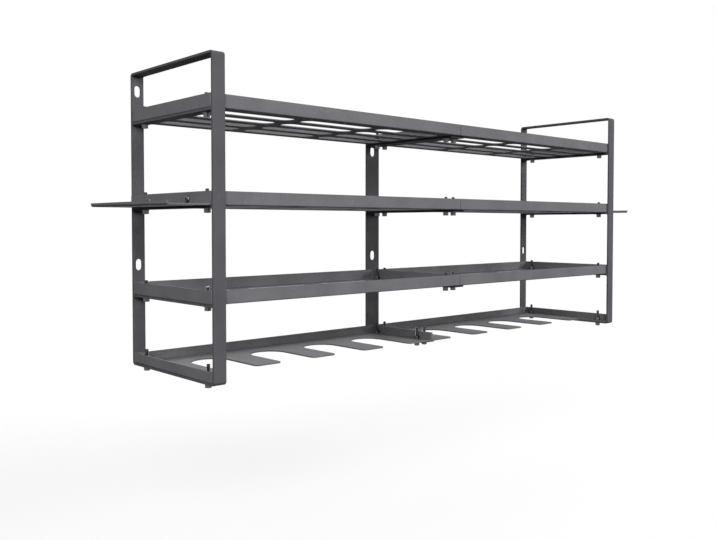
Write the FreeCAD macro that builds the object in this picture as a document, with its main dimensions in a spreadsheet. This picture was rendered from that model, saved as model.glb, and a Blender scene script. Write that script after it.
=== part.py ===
import FreeCAD, Part
import math
import os
import Sketcher

# Wall-mounted rack of folded and welded sheet steel for hand-held power tools.
# Two rectangular loops of flat bar and one strap are screwed to the wall. Bearers welded in them
# carry three shelves and a rack for hanging drills. Each tier is a left and a right panel.
# X runs along the wall, the wall is the plane Y = 0, and the rack stands out towards -Y.
# The origin is the point on the wall midway between the two screw slots of the centre strap.

V = FreeCAD.Vector
doc = FreeCAD.newDocument("WallToolRack")
sheet = doc.addObject("Spreadsheet::Sheet", "Sizes")

SIZES = [
    ("overall_width", 920, "Outside of one side loop to the outside of the other"),
    ("overall_depth", 210, "Wall to the front face of the side loops"),
    ("overall_height", 405, "Bottom to top of the side loops"),
    ("bar_width", 18, "Flat bar of the side loops and their bearers"),
    ("bar_thickness", 3, "All flat bar"),
    ("bend_radius", 2, "Inside of the bends in the side loops"),
    ("strap_width", 30, "Flat bar of the centre strap and its bearers"),
    ("wall_slot_width", 9, "Screw slots in the side loops"),
    ("wall_slot_length", 16, "Screw slots in the side loops"),
    ("wall_slot_low", 140, "Height of the lower slot of each side loop"),
    ("wall_slot_high", 381, "Height of the upper slot of each side loop"),
    ("strap_slot_width", 11, "Screw slots in the centre strap"),
    ("strap_slot_length", 17, "Screw slots in the centre strap"),
    ("strap_slot_low", 141, "Height of the lower slot of the strap"),
    ("strap_slot_high", 325, "Height of the upper slot of the strap"),
    ("centre_bearer_end", 17, "Front bolts to the front end of a bearer at the seam"),
    ("lower_shelf_level", 98.5, "Underside of the lower shelf"),
    ("middle_shelf_level", 219.5, "Underside of the middle shelf and of the side racks"),
    ("upper_shelf_level", 337, "Underside of the upper shelf"),
    ("shelf_thickness", 1.5, "Sheet of the shelves"),
    ("shelf_rim", 17.5, "Height of a shelf with its rim"),
    ("sheet_corner", 2.2, "Outside of the upright corners of a rim"),
    ("sheet_bend_outside", 1.8, "Outside of the folds under a rim"),
    ("sheet_bend_inside", 0.5, "Inside of the folds under a rim"),
    ("fit_gap", 0.5, "Between a panel and its neighbours"),
    ("shelf_slot_width", 26, "Long openings in the shelves"),
    ("shelf_slot_columns", 3, "Long openings side by side in a panel"),
    ("shelf_slot_rows", 4, "Long openings from front to back in a panel"),
    ("shelf_slot_bridge", 15, "Sheet left between the ends of two openings"),
    ("shelf_slot_margin", 23, "Panel side to the first opening"),
    ("shelf_slot_front", 38, "Front face of the loops to the middle of the first row"),
    ("shelf_slot_back", 38, "Wall to the middle of the last row"),
    ("drill_rack_thickness", 2, "Sheet of the drill rack"),
    ("drill_rack_rim", 14, "Height of the drill rack with its rim"),
    ("drill_rack_reach", 145, "Wall to the tips of the drill rack's fingers"),
    ("drill_slot_count", 4, "Slots in each drill rack panel"),
    ("drill_slot_pitch", 100, "Drill slot to drill slot"),
    ("drill_slot_width", 56, "Open width between two fingers"),
    ("drill_slot_back", 48, "Wall to the closed end of a drill slot"),
    ("finger_corner", 7, "Rounded corners of the fingers"),
    ("side_rack_reach", 60, "How far the side racks stand out"),
    ("side_rack_thickness", 2, "Sheet of the side racks"),
    ("side_rack_flange", 16, "Height of the flange screwed to the shelf"),
    ("side_rack_lip", 5, "Height of the outer lip"),
    ("side_rack_bend", 1, "Inside of the folds of the side racks"),
    ("plier_slot_count", 4, "Openings in the plier rack"),
    ("plier_slot_pitch", 52, "Plier opening to plier opening"),
    ("plier_slot_width", 34, "Along the rack"),
    ("plier_slot_length", 38, "Across the rack"),
    ("plier_slot_corner", 5, "Corners of the plier openings"),
    ("tool_slot_count", 5, "Openings in the hand tool rack"),
    ("tool_slot_pitch", 35, "Tool opening to tool opening"),
    ("tool_slot_width", 20, "Along the rack"),
    ("tool_slot_length", 34, "Across the rack"),
    ("bolt_diameter", 5, "All bolts and screws"),
    ("bolt_length", 25, "Shank of the shelf bolts"),
    ("screw_length", 12, "Shank of the side rack screws"),
    ("bolt_head_diameter", 8.5, "Round heads of the shelf bolts"),
    ("bolt_head", 5, "Height of a round head"),
    ("nut_across_corners", 9.2, "Corner to corner of a nut"),
    ("nut_height", 4.5, "Height of a nut"),
    ("washer_diameter", 10, "Outside of a washer"),
    ("washer_thickness", 1, "All washers"),
    ("screw_head_diameter", 9.5, "Domed heads of the side rack screws"),
    ("screw_head", 2.8, "Height of a domed head"),
    ("thread_gap", 0.1, "Bore of a nut or washer over the bolt"),
    ("bolt_gap", 0.5, "Clearance hole over the bolt"),
    ("bolt_front", 27, "Front face of the loops to the front bolts"),
    ("bolt_back", 24, "Wall to the back bolts"),
    ("bolt_seam", 9, "Middle of the rack to the bolts beside the seam"),
    ("bolt_finger", 25, "Finger tips to the front bolts of the middle finger"),
    ("side_screw_spacing", 100, "Between the two screws of a side rack"),
    ("side_screw_height", 8.5, "Side rack screws above the underside of the side rack"),
]

for row, (alias, value, note) in enumerate(SIZES, start=1):
    sheet.set("A%d" % row, note)
    sheet.set("B%d" % row, str(value))
    sheet.setAlias("B%d" % row, alias)
doc.recompute()

# Places that several pieces share, as expressions of the sizes.
HALF = "Sizes.overall_width / 2"
ORIGIN = "(Sizes.strap_slot_low + Sizes.strap_slot_high) / 2"
MID_DEPTH = "Sizes.overall_depth / 2"
BAR_MIDDLE = "(Sizes.overall_width - Sizes.bar_width) / 2"
HOLE_RADIUS = "(Sizes.bolt_diameter + Sizes.bolt_gap) / 2"
THREAD_RADIUS = "(Sizes.bolt_diameter + Sizes.thread_gap) / 2"
FRONT_BOLT = "-Sizes.overall_depth + Sizes.bolt_front"
BACK_BOLT = "-Sizes.bolt_back"
FINGER_BOLT = "-Sizes.drill_rack_reach + Sizes.bolt_finger"
PANEL_FRONT = "-Sizes.overall_depth + Sizes.bar_thickness + Sizes.fit_gap"
PANEL_BACK = "-Sizes.bar_thickness - Sizes.fit_gap"
RACK_FRONT = PANEL_FRONT + " + Sizes.bend_radius"
RACK_BACK = PANEL_BACK + " - Sizes.bend_radius"
SEAM = "Sizes.fit_gap / 2"
SIDE_SCREWS = [
    "-%s - Sizes.side_screw_spacing / 2" % MID_DEPTH,
    "-%s + Sizes.side_screw_spacing / 2" % MID_DEPTH,
]
CLOSE = 0.001

sub_parts = []


def number(expression):
    """The present value of an expression of the sizes."""
    value = sheet.evalExpression(expression)
    return float(getattr(value, "Value", value))


def mirrored(side, expression):
    """The expression on the left side (-1) or on the right side (1) of the rack."""
    return "%d * (%s)" % (side, expression)


def keep(thing, label):
    """Give a sub-part its own label, which also names its file."""
    thing.Label = label
    sub_parts.append(thing)
    return thing


def new_body(label, level="0"):
    """A body whose own zero height lies at a level above the bottom of the side loops."""
    body = doc.addObject("PartDesign::Body", label)
    body.setExpression("Placement.Base.z", "%s - %s" % (level, ORIGIN))
    return keep(body, label)


def new_sketch(body, role, offset="0"):
    """A sketch on one of the body's origin planes, moved along the plane's normal."""
    plane = [item for item in body.Origin.OriginFeatures if item.Role == role][0]
    sketch = body.newObject("Sketcher::SketchObject", body.Name + "_sketch")
    sketch.AttachmentSupport = [(plane, "")]
    sketch.MapMode = "FlatFace"
    sketch.setExpression("AttachmentOffset.Base.z", offset)
    return sketch


def bind(sketch, kind, geometry, expression):
    """Add a measured constraint and bind it to an expression."""
    index = sketch.addConstraint(Sketcher.Constraint(kind, *geometry, number(expression)))
    sketch.setExpression("Constraints[%d]" % index, expression)


def pin(sketch, line, end, x=None, y=None):
    """Measure a point of a sketch from the sketch's origin."""
    if x is not None:
        bind(sketch, "DistanceX", (-1, 1, line, end), x)
    if y is not None:
        bind(sketch, "DistanceY", (-1, 1, line, end), y)


def add_polygon(sketch, corners):
    """A closed outline of level and upright lines through corners given as expressions."""
    first = sketch.GeometryCount
    points = [V(number(x), number(y), 0) for x, y in corners]
    count = len(points)
    for i in range(count):
        sketch.addGeometry(Part.LineSegment(points[i], points[(i + 1) % count]), False)
    for i in range(count):
        sketch.addConstraint(Sketcher.Constraint("Coincident", first + i, 2, first + (i + 1) % count, 1))
    for i in range(count):
        start = corners[i]
        end = corners[(i + 1) % count]
        if start[0] == end[0]:
            sketch.addConstraint(Sketcher.Constraint("Vertical", first + i))
            pin(sketch, first + i, 1, x=start[0])
        else:
            sketch.addConstraint(Sketcher.Constraint("Horizontal", first + i))
            pin(sketch, first + i, 1, y=start[1])


def add_rectangle(sketch, left, right, bottom, top):
    """A rectangle between two pairs of expressions."""
    add_polygon(sketch, [(left, bottom), (right, bottom), (right, top), (left, top)])


def add_round_rectangle(sketch, left, right, bottom, top, radius):
    """A rectangle whose corners are arcs of one radius."""
    first = sketch.GeometryCount
    x0, x1, y0, y1 = number(left), number(right), number(bottom), number(top)
    r = number(radius)
    starts = [V(x0 + r, y0, 0), V(x1, y0 + r, 0), V(x1 - r, y1, 0), V(x0, y1 - r, 0)]
    ends = [V(x1 - r, y0, 0), V(x1, y1 - r, 0), V(x0 + r, y1, 0), V(x0, y0 + r, 0)]
    centres = [V(x1 - r, y0 + r, 0), V(x1 - r, y1 - r, 0), V(x0 + r, y1 - r, 0), V(x0 + r, y0 + r, 0)]
    quarter = math.pi / 2
    for i in range(4):
        sketch.addGeometry(Part.LineSegment(starts[i], ends[i]), False)
        circle = Part.Circle(centres[i], V(0, 0, 1), r)
        sketch.addGeometry(Part.ArcOfCircle(circle, (i - 1) * quarter, i * quarter), False)
    for i in range(4):
        line = first + 2 * i
        arc = line + 1
        after = first + (2 * i + 2) % 8
        sketch.addConstraint(Sketcher.Constraint("Tangent", line, 2, arc, 1))
        sketch.addConstraint(Sketcher.Constraint("Tangent", arc, 2, after, 1))
        sketch.addConstraint(Sketcher.Constraint("Vertical" if i % 2 else "Horizontal", line))
    for i in range(1, 4):
        sketch.addConstraint(Sketcher.Constraint("Equal", first + 1, first + 2 * i + 1))
    bind(sketch, "Radius", (first + 1,), radius)
    pin(sketch, first, 1, y=bottom)
    pin(sketch, first + 2, 1, x=right)
    pin(sketch, first + 4, 1, y=top)
    pin(sketch, first + 6, 1, x=left)


def add_slot(sketch, x, y, width, length, upright=False):
    """A slot with round ends about a middle point, level or upright."""
    first = sketch.GeometryCount
    middle = V(number(x), number(y), 0)
    r = number(width) / 2
    reach = number(length) / 2 - r
    along = V(0, 1, 0) if upright else V(1, 0, 0)
    across = V(-1, 0, 0) if upright else V(0, 1, 0)
    quarter = math.pi / 2
    start = 0 if upright else -quarter
    ends = [middle + along * reach, middle - along * reach]
    rounds = [Part.Circle(end, V(0, 0, 1), r) for end in ends]
    sketch.addGeometry(Part.LineSegment(ends[1] - across * r, ends[0] - across * r), False)
    sketch.addGeometry(Part.ArcOfCircle(rounds[0], start, start + 2 * quarter), False)
    sketch.addGeometry(Part.LineSegment(ends[0] + across * r, ends[1] + across * r), False)
    sketch.addGeometry(Part.ArcOfCircle(rounds[1], start + 2 * quarter, start + 4 * quarter), False)
    for i in range(4):
        sketch.addConstraint(Sketcher.Constraint("Tangent", first + i, 2, first + (i + 1) % 4, 1))
    way = "Vertical" if upright else "Horizontal"
    sketch.addConstraint(Sketcher.Constraint(way, first))
    sketch.addConstraint(Sketcher.Constraint(way, first + 2))
    bind(sketch, "Radius", (first + 1,), "(%s) / 2" % width)
    run = "((%s) - (%s)) / 2" % (length, width)
    if upright:
        pin(sketch, first + 1, 3, x=x, y="(%s) + %s" % (y, run))
        pin(sketch, first + 3, 3, y="(%s) - %s" % (y, run))
    else:
        pin(sketch, first + 1, 3, x="(%s) + %s" % (x, run), y=y)
        pin(sketch, first + 3, 3, x="(%s) - %s" % (x, run))


def add_circle(sketch, x, y, radius):
    """A round hole."""
    centre = V(number(x), number(y), 0)
    index = sketch.addGeometry(Part.Circle(centre, V(0, 0, 1), number(radius)), False)
    bind(sketch, "Radius", (index,), radius)
    pin(sketch, index, 3, x=x, y=y)


def pad(body, sketch, length, reversed_way=False):
    """Raise a sketch into a solid."""
    feature = body.newObject("PartDesign::Pad", body.Name + "_pad")
    feature.Profile = sketch
    feature.Reversed = reversed_way
    feature.setExpression("Length", length)
    doc.recompute()
    return feature


def cut(body, sketch, depth, both_ways=True):
    """Cut a sketch out of the body, to a depth each way or down from the sketch, and see that it cut."""
    before = body.Shape.Volume
    feature = body.newObject("PartDesign::Pocket", body.Name + "_cut")
    feature.Profile = sketch
    feature.Midplane = both_ways
    feature.setExpression("Length", "2 * (%s)" % depth if both_ways else depth)
    doc.recompute()
    if body.Shape.Volume > before - CLOSE:
        raise RuntimeError("nothing was cut from " + body.Label)
    return feature


def repeat(body, feature, directions):
    """Copy a cut in rows: each direction is a sketch axis, a step and a count."""
    grid = body.newObject("PartDesign::MultiTransform", body.Name + "_grid")
    grid.Originals = [feature]
    steps = []
    for axis, step, count in directions:
        line = body.newObject("PartDesign::LinearPattern", body.Name + "_row")
        line.Direction = (feature.Profile[0], [axis])
        line.Mode = "Spacing"
        line.setExpression("Offset", step)
        line.setExpression("Occurrences", count)
        steps.append(line)
    grid.Transformations = steps
    body.Tip = grid
    before = body.Shape.Volume
    doc.recompute()
    if body.Shape.Volume > before - CLOSE:
        raise RuntimeError("no copies were cut from " + body.Label)


def fillet(body, wanted, radius):
    """Round the edges that a test picks."""
    tip = body.Tip
    names = ["Edge%d" % (i + 1) for i, edge in enumerate(tip.Shape.Edges) if wanted(edge)]
    if not names:
        raise RuntimeError("no edges to round on " + body.Label)
    feature = body.newObject("PartDesign::Fillet", body.Name + "_round")
    feature.Base = (tip, names)
    feature.setExpression("Radius", radius)
    doc.recompute()


def lies_at(edge, x=None, y=None, z=None):
    """Whether both ends of an edge share the places given."""
    for place, axis in ((x, "x"), (y, "y"), (z, "z")):
        if place is None:
            continue
        for vertex in edge.Vertexes:
            if abs(getattr(vertex.Point, axis) - place) > CLOSE:
                return False
    return True


def runs_along(edge, axis):
    """Whether an edge is a straight line along one axis."""
    if edge.Curve.TypeId != "Part::GeomLine":
        return False
    return abs(abs(getattr(edge.tangentAt(edge.FirstParameter), axis)) - 1) < CLOSE


def side_loop(label, side):
    """A closed loop of flat bar with two wall slots, and two bolt holes in its bottom run."""
    body = new_body(label)
    outer_face = mirrored(side, HALF) if side < 0 else "%s - Sizes.bar_width" % HALF
    sketch = new_sketch(body, "YZ_Plane", outer_face)
    wall = "Sizes.bar_thickness"
    add_round_rectangle(sketch, "-Sizes.overall_depth", "0", "0", "Sizes.overall_height",
                        "Sizes.bend_radius + " + wall)
    add_round_rectangle(sketch, "-Sizes.overall_depth + " + wall, "-" + wall, wall,
                        "Sizes.overall_height - " + wall, "Sizes.bend_radius")
    pad(body, sketch, "Sizes.bar_width")
    middle = mirrored(side, BAR_MIDDLE)
    slots = new_sketch(body, "XZ_Plane")
    for height in ("Sizes.wall_slot_low", "Sizes.wall_slot_high"):
        add_slot(slots, middle, height, "Sizes.wall_slot_width", "Sizes.wall_slot_length", upright=True)
    cut(body, slots, "2 * " + wall)
    holes = new_sketch(body, "XY_Plane")
    for place in (FRONT_BOLT, BACK_BOLT):
        add_circle(holes, middle, place, HOLE_RADIUS)
    cut(body, holes, "2 * " + wall)


def centre_strap(label):
    """The upright strap at the seam, as high as the upper shelf's rim, with two wall slots."""
    body = new_body(label)
    sketch = new_sketch(body, "XZ_Plane")
    half = "Sizes.strap_width / 2"
    add_rectangle(sketch, "-" + half, half, "0", "Sizes.upper_shelf_level + Sizes.shelf_rim")
    for height in ("Sizes.strap_slot_low", "Sizes.strap_slot_high"):
        add_slot(sketch, "0", height, "Sizes.strap_slot_width", "Sizes.strap_slot_length", upright=True)
    pad(body, sketch, "Sizes.bar_thickness")


def bearer(label, level, left, right, front, back, holes):
    """A level flat bar under a tier, welded to the uprights at its ends, with bolt holes."""
    body = new_body(label, "%s - Sizes.bar_thickness" % level)
    sketch = new_sketch(body, "XY_Plane")
    add_rectangle(sketch, left, right, front, back)
    for x, y in holes:
        add_circle(sketch, x, y, HOLE_RADIUS)
    pad(body, sketch, "Sizes.bar_thickness")


def side_edges(side, inset):
    """The left and right ends of a panel, drawn in from its outline by an inset."""
    outer = "%s - (%s)" % (HALF, inset)
    inner = "%s + (%s)" % (SEAM, inset)
    if side < 0:
        return mirrored(-1, outer), mirrored(-1, inner)
    return inner, outer


def shelf_panel(label, side, level, side_holes):
    """A shallow tray of folded sheet with rows of long openings and four bolt holes."""
    body = new_body(label, level)
    wall = "Sizes.shelf_thickness"
    left, right = side_edges(side, "0")
    outline = new_sketch(body, "XY_Plane")
    add_round_rectangle(outline, left, right, PANEL_FRONT, PANEL_BACK, "Sizes.sheet_corner")
    pad(body, outline, "Sizes.shelf_rim")
    hollow = new_sketch(body, "XY_Plane", "Sizes.shelf_rim")
    left, right = side_edges(side, wall)
    add_round_rectangle(hollow, left, right, "%s + %s" % (PANEL_FRONT, wall),
                        "%s - %s" % (PANEL_BACK, wall), "Sizes.sheet_corner - " + wall)
    cut(body, hollow, "Sizes.shelf_rim - " + wall, both_ways=False)
    fillet(body, lambda edge: lies_at(edge, z=0), "Sizes.sheet_bend_outside")
    floor = number(wall)
    fillet(body, lambda edge: lies_at(edge, z=floor), "Sizes.sheet_bend_inside")

    run = "(%s - %s - 2 * Sizes.shelf_slot_margin" % (HALF, SEAM)
    run += " - (Sizes.shelf_slot_columns - 1) * Sizes.shelf_slot_bridge) / Sizes.shelf_slot_columns"
    first = "%s + Sizes.shelf_slot_margin + %s / 2" % (SEAM, run)
    rise = "(Sizes.overall_depth - Sizes.shelf_slot_front - Sizes.shelf_slot_back)"
    rise += " / (Sizes.shelf_slot_rows - 1)"
    opening = new_sketch(body, "XY_Plane")
    if side < 0:
        first = "-%s + Sizes.shelf_slot_margin + %s / 2" % (HALF, run)
    add_slot(opening, first, "-Sizes.overall_depth + Sizes.shelf_slot_front", "Sizes.shelf_slot_width", run)
    one = cut(body, opening, "2 * " + wall)
    repeat(body, one, [
        ("H_Axis", "%s + Sizes.shelf_slot_bridge" % run, "Sizes.shelf_slot_columns"),
        ("V_Axis", rise, "Sizes.shelf_slot_rows"),
    ])
    holes = new_sketch(body, "XY_Plane")
    for across in (BAR_MIDDLE, "Sizes.bolt_seam"):
        for place in (FRONT_BOLT, BACK_BOLT):
            add_circle(holes, mirrored(side, across), place, HOLE_RADIUS)
    cut(body, holes, "2 * " + wall)
    if side_holes:
        rim_holes = new_sketch(body, "YZ_Plane", mirrored(side, HALF))
        for place in SIDE_SCREWS:
            add_circle(rim_holes, place, "Sizes.side_screw_height", HOLE_RADIUS)
        cut(body, rim_holes, "2 * " + wall)


def drill_rack(label, side):
    """A comb with slots for hanging drills, an arm along the loop and a rim round its back and sides."""
    body = new_body(label, "Sizes.bar_thickness")
    wall = "Sizes.drill_rack_thickness"
    outer = mirrored(side, HALF)
    arm = mirrored(side, "%s - Sizes.bar_width" % HALF)
    seam = mirrored(side, SEAM)
    tips = "-Sizes.drill_rack_reach"
    outline = new_sketch(body, "XY_Plane")
    add_polygon(outline, [
        (outer, RACK_BACK), (outer, RACK_FRONT), (arm, RACK_FRONT),
        (arm, tips), (seam, tips), (seam, RACK_BACK),
    ])
    pad(body, outline, "Sizes.drill_rack_rim")
    hollow = new_sketch(body, "XY_Plane", "Sizes.drill_rack_rim")
    left, right = side_edges(side, wall)
    add_rectangle(hollow, left, right, "-Sizes.overall_depth", "%s - %s" % (RACK_BACK, wall))
    cut(body, hollow, "Sizes.drill_rack_rim - " + wall, both_ways=False)
    back = number(RACK_BACK)
    ends = [number(outer), number(seam)]

    def under_rim(edge):
        """The folds run under the back rim and the two side rims."""
        if not lies_at(edge, z=0):
            return False
        return lies_at(edge, y=back) or any(lies_at(edge, x=end) for end in ends)

    fillet(body, under_rim, "Sizes.sheet_bend_outside")
    front = number(tips)
    arm_side = number(arm)

    def arm_corner(edge):
        """The upright edge where the arm meets the comb."""
        return runs_along(edge, "z") and lies_at(edge, y=front) and lies_at(edge, x=arm_side)

    fillet(body, arm_corner, "Sizes.finger_corner")

    first = "%s / 2 - (Sizes.drill_slot_count - 1) * Sizes.drill_slot_pitch / 2" % HALF
    if side < 0:
        first = "-%s / 2 - (Sizes.drill_slot_count - 1) * Sizes.drill_slot_pitch / 2" % HALF
    width = "Sizes.drill_slot_width"
    length = "2 * (Sizes.overall_depth - Sizes.drill_slot_back)"
    slot = new_sketch(body, "XY_Plane")
    add_slot(slot, first, "-Sizes.overall_depth", width, length, upright=True)
    one = cut(body, slot, "2 * " + wall)
    repeat(body, one, [("H_Axis", "Sizes.drill_slot_pitch", "Sizes.drill_slot_count")])
    rim_depth = number(wall) + CLOSE

    def finger_tip(edge):
        """The upright edges at the finger tips, apart from those of the rims."""
        if not (runs_along(edge, "z") and lies_at(edge, y=front)):
            return False
        return all(abs(edge.Vertexes[0].Point.x - end) > rim_depth for end in ends)

    fillet(body, finger_tip, "Sizes.finger_corner")
    holes = new_sketch(body, "XY_Plane")
    add_circle(holes, mirrored(side, BAR_MIDDLE), FRONT_BOLT, HOLE_RADIUS)
    add_circle(holes, mirrored(side, BAR_MIDDLE), BACK_BOLT, HOLE_RADIUS)
    add_circle(holes, mirrored(side, "Sizes.bolt_seam"), FINGER_BOLT, HOLE_RADIUS)
    add_circle(holes, mirrored(side, "Sizes.bolt_seam"), BACK_BOLT, HOLE_RADIUS)
    cut(body, holes, "2 * " + wall)


def side_rack(label, side):
    """A folded strip with a flange against the middle shelf's rim and a lip outside."""
    body = new_body(label, "Sizes.middle_shelf_level")
    wall = "Sizes.side_rack_thickness"
    inner = mirrored(side, HALF)
    inner_face = mirrored(side, "%s + %s" % (HALF, wall))
    outer = mirrored(side, "%s + Sizes.side_rack_reach" % HALF)
    outer_face = mirrored(side, "%s + Sizes.side_rack_reach - %s" % (HALF, wall))
    profile = new_sketch(body, "XZ_Plane", "Sizes.bar_thickness")
    add_polygon(profile, [
        (inner, "0"), (outer, "0"), (outer, "Sizes.side_rack_lip"), (outer_face, "Sizes.side_rack_lip"),
        (outer_face, wall), (inner_face, wall),
        (inner_face, "Sizes.side_rack_flange"), (inner, "Sizes.side_rack_flange"),
    ])
    pad(body, profile, "Sizes.overall_depth - 2 * Sizes.bar_thickness")
    floor = number(wall)
    ends = [number(inner), number(outer)]
    inside = [number(inner_face), number(outer_face)]
    fillet(body, lambda edge: runs_along(edge, "y") and lies_at(edge, z=0)
           and any(lies_at(edge, x=end) for end in ends), "Sizes.side_rack_bend + " + wall)
    fillet(body, lambda edge: runs_along(edge, "y") and lies_at(edge, z=floor)
           and any(lies_at(edge, x=face) for face in inside), "Sizes.side_rack_bend")
    holes = new_sketch(body, "YZ_Plane", inner)
    for place in SIDE_SCREWS:
        add_circle(holes, place, "Sizes.side_screw_height", HOLE_RADIUS)
    cut(body, holes, "2 * " + wall)
    return body


def first_of_row(count, pitch):
    """The place of the first opening of a row centred on the depth of the rack."""
    return "-%s - (%s - 1) * %s / 2" % (MID_DEPTH, count, pitch)


def plier_rack(label):
    """The left side rack, with oblong openings that pliers hang in by their shoulders."""
    body = side_rack(label, -1)
    middle = mirrored(-1, "%s + Sizes.side_rack_reach / 2" % HALF)
    place = first_of_row("Sizes.plier_slot_count", "Sizes.plier_slot_pitch")
    sketch = new_sketch(body, "XY_Plane")
    half_length = "Sizes.plier_slot_length / 2"
    half_width = "Sizes.plier_slot_width / 2"
    add_round_rectangle(sketch, "%s - %s" % (middle, half_length), "%s + %s" % (middle, half_length),
                        "%s - %s" % (place, half_width), "%s + %s" % (place, half_width),
                        "Sizes.plier_slot_corner")
    one = cut(body, sketch, "2 * Sizes.side_rack_thickness")
    repeat(body, one, [("V_Axis", "Sizes.plier_slot_pitch", "Sizes.plier_slot_count")])


def hand_tool_rack(label):
    """The right side rack, with slots for tools that hang by their heads."""
    body = side_rack(label, 1)
    middle = "%s + Sizes.side_rack_reach / 2" % HALF
    place = first_of_row("Sizes.tool_slot_count", "Sizes.tool_slot_pitch")
    sketch = new_sketch(body, "XY_Plane")
    add_slot(sketch, middle, place, "Sizes.tool_slot_width", "Sizes.tool_slot_length")
    one = cut(body, sketch, "2 * Sizes.side_rack_thickness")
    repeat(body, one, [("V_Axis", "Sizes.tool_slot_pitch", "Sizes.tool_slot_count")])


def primitive(kind, name, sizes, base_z="0"):
    """A simple solid whose sizes are bound, standing at a height."""
    solid = doc.addObject(kind, name)
    for key, expression in sizes.items():
        solid.setExpression(key, expression)
    solid.setExpression("Placement.Base.z", base_z)
    return solid


def joined(kind, name, base, tool):
    """Two solids fused or cut."""
    result = doc.addObject(kind, name)
    result.Base = base
    result.Tool = tool
    return result


def bolt_pattern_piece():
    """A bolt with a round head, its shank up from the bearing face of its head."""
    head = primitive("Part::Cylinder", "bolt_head_form", {"Radius": "Sizes.bolt_head_diameter / 2",
                                                          "Height": "Sizes.bolt_head"}, "-Sizes.bolt_head")
    shank = primitive("Part::Cylinder", "bolt_shank", {"Radius": "Sizes.bolt_diameter / 2",
                                                       "Height": "Sizes.bolt_length"})
    return joined("Part::Fuse", "bolt_form", head, shank)


def screw_pattern_piece():
    """A domed screw, its shank up from the bearing face of its head."""
    dome = primitive("Part::Sphere", "screw_dome", {
        "Radius": "(Sizes.screw_head_diameter ^ 2 / 4 + Sizes.screw_head ^ 2) / (2 * Sizes.screw_head)",
    }, "(Sizes.screw_head_diameter ^ 2 / 4 - Sizes.screw_head ^ 2) / (2 * Sizes.screw_head)")
    drum = primitive("Part::Cylinder", "screw_drum", {"Radius": "Sizes.screw_head_diameter / 2",
                                                      "Height": "Sizes.screw_head"}, "-Sizes.screw_head")
    head = joined("Part::Common", "screw_head_form", dome, drum)
    shank = primitive("Part::Cylinder", "screw_shank", {"Radius": "Sizes.bolt_diameter / 2",
                                                        "Height": "Sizes.screw_length"})
    return joined("Part::Fuse", "screw_form", head, shank)


def nut_pattern_piece():
    """A hexagon nut standing on its bearing face."""
    block = primitive("Part::Prism", "nut_block", {"Circumradius": "Sizes.nut_across_corners / 2",
                                                   "Height": "Sizes.nut_height"})
    block.Polygon = 6
    bore = primitive("Part::Cylinder", "nut_bore", {"Radius": THREAD_RADIUS, "Height": "Sizes.nut_height"})
    return joined("Part::Cut", "nut_form", block, bore)


def washer_pattern_piece():
    """A flat washer."""
    disc = primitive("Part::Cylinder", "washer_disc", {"Radius": "Sizes.washer_diameter / 2",
                                                       "Height": "Sizes.washer_thickness"})
    bore = primitive("Part::Cylinder", "washer_bore", {"Radius": THREAD_RADIUS,
                                                       "Height": "Sizes.washer_thickness"})
    return joined("Part::Cut", "washer_form", disc, bore)


def group(label, form, places, turn=None):
    """Separate copies of one fastener at places given as expressions, kept as one sub-part."""
    copies = []
    for x, y, z in places:
        copy = doc.addObject("App::Link", label + "_copy")
        copy.setLink(form)
        if turn is not None:
            copy.Placement.Rotation = turn
        copy.setExpression("Placement.Base.x", x)
        copy.setExpression("Placement.Base.y", y)
        copy.setExpression("Placement.Base.z", z)
        copies.append(copy)
    compound = doc.addObject("Part::Compound", label)
    compound.Links = copies
    keep(compound, label)


def tier_fasteners(prefix, level, thickness, seam_front, forms):
    """The bolts, nuts and washers that hold a tier's two panels to their bearers."""
    spots = []
    for side in (-1, 1):
        spots.append((mirrored(side, BAR_MIDDLE), FRONT_BOLT))
        spots.append((mirrored(side, BAR_MIDDLE), BACK_BOLT))
        spots.append((mirrored(side, "Sizes.bolt_seam"), seam_front))
        spots.append((mirrored(side, "Sizes.bolt_seam"), BACK_BOLT))
    under = "%s - Sizes.bar_thickness - Sizes.washer_thickness - %s" % (level, ORIGIN)
    over = "%s + %s - %s" % (level, thickness, ORIGIN)
    group(prefix + "_bolts", forms["bolt"], [(x, y, under) for x, y in spots])
    group(prefix + "_washers", forms["washer"],
          [(x, y, z) for z in (under, over) for x, y in spots])
    group(prefix + "_nuts", forms["nut"],
          [(x, y, over + " + Sizes.washer_thickness") for x, y in spots])


def side_fasteners(prefix, side, forms):
    """The screws and nuts that hold a side rack to the rim of the middle shelf."""
    height = "Sizes.middle_shelf_level + Sizes.side_screw_height - " + ORIGIN
    inward = FreeCAD.Rotation(V(0, 1, 0), -90 * side)
    outside = mirrored(side, "%s + Sizes.side_rack_thickness" % HALF)
    inside = mirrored(side, "%s - Sizes.shelf_thickness" % HALF)
    group(prefix + "_screws", forms["screw"], [(outside, y, height) for y in SIDE_SCREWS], inward)
    group(prefix + "_nuts", forms["nut"], [(inside, y, height) for y in SIDE_SCREWS], inward)


# Side loops and the centre strap
for name, side in (("left", -1), ("right", 1)):
    side_loop(name + "_side_loop", side)
centre_strap("centre_strap")

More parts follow.
